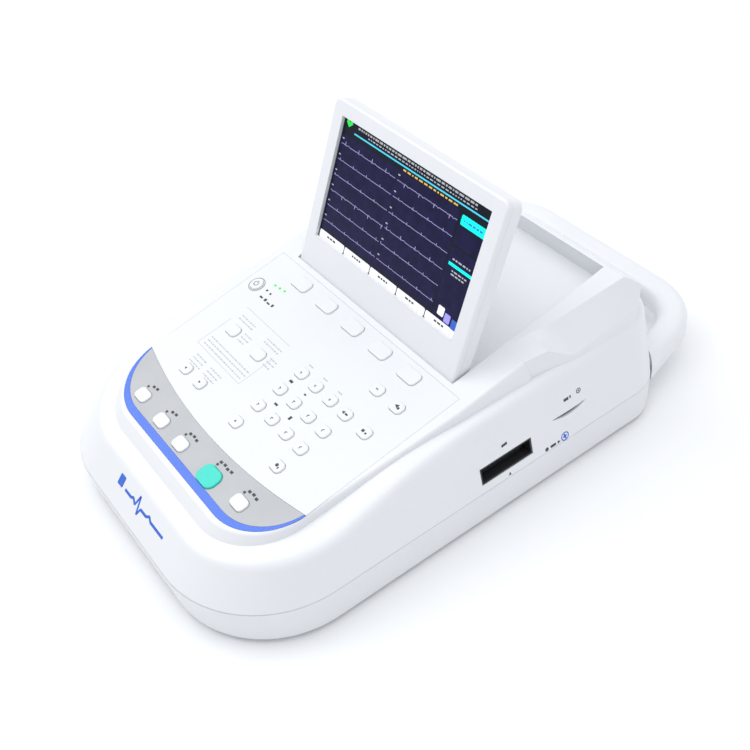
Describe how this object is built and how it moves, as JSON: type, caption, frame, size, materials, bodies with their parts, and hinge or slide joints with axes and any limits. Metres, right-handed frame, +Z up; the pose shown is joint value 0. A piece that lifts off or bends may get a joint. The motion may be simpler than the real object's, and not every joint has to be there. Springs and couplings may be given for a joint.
{
  "type": "ecg machine",
  "caption": "Portable electrocardiograph with a tilting flat display, a sloping keypad deck, a side recorder door and a bow carry handle at the rear.",
  "frame": {"origin": "middle of the footprint, on the surface that the feet rest on", "axes": "+X to the operator's right, +Y to the back, +Z up"},
  "size_m": [0.26, 0.431, 0.2017],
  "materials": {
    "case_white": "fine-textured moulded ABS",
    "overlay_white": "satin printed membrane sheet",
    "band_grey": "satin printed membrane sheet",
    "stripe_blue": "glossy inlay",
    "key_white": "satin moulded key",
    "key_teal": "satin moulded key",
    "screen_glass": "display panel, semi-matt front",
    "board_green": "circuit board with parts",
    "bracket_steel": "machined steel",
    "connector_black": "moulded connector plastic",
    "inner_grey": "moulded plastic, inside",
    "platen_rubber": "ground rubber roller",
    "head_aluminium": "extruded bar with ceramic strip",
    "chart_paper": "fan-folded thermal chart paper",
    "motor_steel": "drawn motor can",
    "gear_nylon": "moulded nylon",
    "foot_rubber": "soft rubber",
    "screw_steel": "zinc-plated"
  },
  "bodies": {
    "case": {"bottom_case": "case_white", "top_case": "case_white", "keypad_overlay": "overlay_white", "start_band": "band_grey", "trim_stripe": "stripe_blue", "keypad_board": "board_green", "main_board": "board_green", "hinge_brackets": "bracket_steel", "carry_handle": "case_white", "patient_connector": "connector_black", "card_socket": "connector_black", "recorder_frame": "inner_grey", "thermal_head": "head_aluminium", "paper_pack": "chart_paper", "feed_motor": "motor_steel", "battery_pack": "inner_grey", "battery_cover": "case_white", "mains_inlet": "connector_black", "power_supply": "board_green", "feet": "foot_rubber", "case_screws": "screw_steel"},
    "display": {"lcd_bezel": "case_white", "lcd_rear_cover": "case_white", "lcd_module": "screen_glass"},
    "door": {"recorder_door": "case_white"},
    "platen": {"platen_roller": "platen_rubber", "platen_gear": "gear_nylon"},
    "pinion": {"motor_pinion": "gear_nylon"},
    "key_soft_1_body": {"key_soft_1": "key_white"},
    "key_soft_2_body": {"key_soft_2": "key_white"},
    "key_soft_3_body": {"key_soft_3": "key_white"},
    "key_soft_4_body": {"key_soft_4": "key_white"},
    "key_soft_5_body": {"key_soft_5": "key_white"},
    "key_power_body": {"key_power": "key_white"},
    "key_mode_1_body": {"key_mode_1": "key_white"},
    "key_mode_2_body": {"key_mode_2": "key_white"},
    "key_shift_1_body": {"key_shift_1": "key_white"},
    "key_shift_2_body": {"key_shift_2": "key_white"},
    "key_pad_a1_body": {"key_pad_a1": "key_white"},
    "key_pad_a2_body": {"key_pad_a2": "key_white"},
    "key_pad_a3_body": {"key_pad_a3": "key_white"},
    "key_pad_a4_body": {"key_pad_a4": "key_white"},
    "key_pad_a5_body": {"key_pad_a5": "key_white"},
    "key_pad_b1_body": {"key_pad_b1": "key_white"},
    "key_pad_b2_body": {"key_pad_b2": "key_white"},
    "key_pad_b3_body": {"key_pad_b3": "key_white"},
    "key_pad_b4_body": {"key_pad_b4": "key_white"},
    "key_pad_c1_body": {"key_pad_c1": "key_white"},
    "key_pad_c2_body": {"key_pad_c2": "key_white"},
    "key_pad_c3_body": {"key_pad_c3": "key_white"},
    "key_pad_c4_body": {"key_pad_c4": "key_white"},
    "key_pad_d1_body": {"key_pad_d1": "key_white"},
    "key_pad_d2_body": {"key_pad_d2": "key_white"},
    "key_edit_1_body": {"key_edit_1": "key_white"},
    "key_edit_2_body": {"key_edit_2": "key_white"},
    "key_band_1_body": {"key_band_1": "key_white"},
    "key_band_2_body": {"key_band_2": "key_white"},
    "key_band_3_body": {"key_band_3": "key_white"},
    "key_band_4_body": {"key_band_4": "key_white"},
    "key_start_body": {"key_start": "key_teal"}
  },
  "joints": [
    {"name": "lcd_tilt", "type": "hinge", "parent": "case", "child": "display", "pos_m": [0, -0.00754, 0.0848], "axis": [-1, 0, 0], "range_deg": [0, 56.3]},
    {"name": "recorder_door_hinge", "type": "hinge", "parent": "case", "child": "door", "pos_m": [-0.1252, 0.03, 0.0375], "axis": [0, -1, 0], "range_deg": [0, 75]},
    {"name": "platen_spin", "type": "hinge", "parent": "case", "child": "platen", "pos_m": [-0.105, 0.03, 0.06], "axis": [0, 1, 0], "continuous": true},
    {"name": "pinion_spin", "type": "hinge", "parent": "case", "child": "pinion", "pos_m": [-0.087, 0.08, 0.06], "axis": [0, 1, 0], "continuous": true},
    {"name": "press_soft_1", "type": "slide", "parent": "case", "child": "key_soft_1_body", "axis": [0, 0.1822, -0.9833], "range_m": [0, 0.0008], "stiffness_N_per_m": 600},
    {"name": "press_soft_2", "type": "slide", "parent": "case", "child": "key_soft_2_body", "axis": [0, 0.1822, -0.9833], "range_m": [0, 0.0008], "stiffness_N_per_m": 600},
    {"name": "press_soft_3", "type": "slide", "parent": "case", "child": "key_soft_3_body", "axis": [0, 0.1822, -0.9833], "range_m": [0, 0.0008], "stiffness_N_per_m": 600},
    {"name": "press_soft_4", "type": "slide", "parent": "case", "child": "key_soft_4_body", "axis": [0, 0.1822, -0.9833], "range_m": [0, 0.0008], "stiffness_N_per_m": 600},
    {"name": "press_soft_5", "type": "slide", "parent": "case", "child": "key_soft_5_body", "axis": [0, 0.1822, -0.9833], "range_m": [0, 0.0008], "stiffness_N_per_m": 600},
    {"name": "press_power", "type": "slide", "parent": "case", "child": "key_power_body", "axis": [0, 0.1822, -0.9833], "range_m": [0, 0.0008], "stiffness_N_per_m": 600},
    {"name": "press_mode_1", "type": "slide", "parent": "case", "child": "key_mode_1_body", "axis": [0, 0.1822, -0.9833], "range_m": [0, 0.0008], "stiffness_N_per_m": 600},
    {"name": "press_mode_2", "type": "slide", "parent": "case", "child": "key_mode_2_body", "axis": [0, 0.1822, -0.9833], "range_m": [0, 0.0008], "stiffness_N_per_m": 600},
    {"name": "press_shift_1", "type": "slide", "parent": "case", "child": "key_shift_1_body", "axis": [0, 0.1822, -0.9833], "range_m": [0, 0.0008], "stiffness_N_per_m": 600},
    {"name": "press_shift_2", "type": "slide", "parent": "case", "child": "key_shift_2_body", "axis": [0, 0.1822, -0.9833], "range_m": [0, 0.0008], "stiffness_N_per_m": 600},
    {"name": "press_pad_a1", "type": "slide", "parent": "case", "child": "key_pad_a1_body", "axis": [0, 0.1822, -0.9833], "range_m": [0, 0.0008], "stiffness_N_per_m": 600},
    {"name": "press_pad_a2", "type": "slide", "parent": "case", "child": "key_pad_a2_body", "axis": [0, 0.1822, -0.9833], "range_m": [0, 0.0008], "stiffness_N_per_m": 600},
    {"name": "press_pad_a3", "type": "slide", "parent": "case", "child": "key_pad_a3_body", "axis": [0, 0.1822, -0.9833], "range_m": [0, 0.0008], "stiffness_N_per_m": 600},
    {"name": "press_pad_a4", "type": "slide", "parent": "case", "child": "key_pad_a4_body", "axis": [0, 0.1822, -0.9833], "range_m": [0, 0.0008], "stiffness_N_per_m": 600},
    {"name": "press_pad_a5", "type": "slide", "parent": "case", "child": "key_pad_a5_body", "axis": [0, 0.1822, -0.9833], "range_m": [0, 0.0008], "stiffness_N_per_m": 600},
    {"name": "press_pad_b1", "type": "slide", "parent": "case", "child": "key_pad_b1_body", "axis": [0, 0.1822, -0.9833], "range_m": [0, 0.0008], "stiffness_N_per_m": 600},
    {"name": "press_pad_b2", "type": "slide", "parent": "case", "child": "key_pad_b2_body", "axis": [0, 0.1822, -0.9833], "range_m": [0, 0.0008], "stiffness_N_per_m": 600},
    {"name": "press_pad_b3", "type": "slide", "parent": "case", "child": "key_pad_b3_body", "axis": [0, 0.1822, -0.9833], "range_m": [0, 0.0008], "stiffness_N_per_m": 600},
    {"name": "press_pad_b4", "type": "slide", "parent": "case", "child": "key_pad_b4_body", "axis": [0, 0.1822, -0.9833], "range_m": [0, 0.0008], "stiffness_N_per_m": 600},
    {"name": "press_pad_c1", "type": "slide", "parent": "case", "child": "key_pad_c1_body", "axis": [0, 0.1822, -0.9833], "range_m": [0, 0.0008], "stiffness_N_per_m": 600},
    {"name": "press_pad_c2", "type": "slide", "parent": "case", "child": "key_pad_c2_body", "axis": [0, 0.1822, -0.9833], "range_m": [0, 0.0008], "stiffness_N_per_m": 600},
    {"name": "press_pad_c3", "type": "slide", "parent": "case", "child": "key_pad_c3_body", "axis": [0, 0.1822, -0.9833], "range_m": [0, 0.0008], "stiffness_N_per_m": 600},
    {"name": "press_pad_c4", "type": "slide", "parent": "case", "child": "key_pad_c4_body", "axis": [0, 0.1822, -0.9833], "range_m": [0, 0.0008], "stiffness_N_per_m": 600},
    {"name": "press_pad_d1", "type": "slide", "parent": "case", "child": "key_pad_d1_body", "axis": [0, 0.1822, -0.9833], "range_m": [0, 0.0008], "stiffness_N_per_m": 600},
    {"name": "press_pad_d2", "type": "slide", "parent": "case", "child": "key_pad_d2_body", "axis": [0, 0.1822, -0.9833], "range_m": [0, 0.0008], "stiffness_N_per_m": 600},
    {"name": "press_edit_1", "type": "slide", "parent": "case", "child": "key_edit_1_body", "axis": [0, 0.1822, -0.9833], "range_m": [0, 0.0008], "stiffness_N_per_m": 600},
    {"name": "press_edit_2", "type": "slide", "parent": "case", "child": "key_edit_2_body", "axis": [0, 0.1822, -0.9833], "range_m": [0, 0.0008], "stiffness_N_per_m": 600},
    {"name": "press_band_1", "type": "slide", "parent": "case", "child": "key_band_1_body", "axis": [0, 0.1822, -0.9833], "range_m": [0, 0.0008], "stiffness_N_per_m": 600},
    {"name": "press_band_2", "type": "slide", "parent": "case", "child": "key_band_2_body", "axis": [0, 0.1822, -0.9833], "range_m": [0, 0.0008], "stiffness_N_per_m": 600},
    {"name": "press_band_3", "type": "slide", "parent": "case", "child": "key_band_3_body", "axis": [0, 0.1822, -0.9833], "range_m": [0, 0.0008], "stiffness_N_per_m": 600},
    {"name": "press_band_4", "type": "slide", "parent": "case", "child": "key_band_4_body", "axis": [0, 0.1822, -0.9833], "range_m": [0, 0.0008], "stiffness_N_per_m": 600},
    {"name": "press_start", "type": "slide", "parent": "case", "child": "key_start_body", "axis": [0, 0.1822, -0.9833], "range_m": [0, 0.0008], "stiffness_N_per_m": 600}
  ],
  "couplings": [
    {"joint": "pinion_spin", "follows": "platen_spin", "ratio": -2}
  ]
}
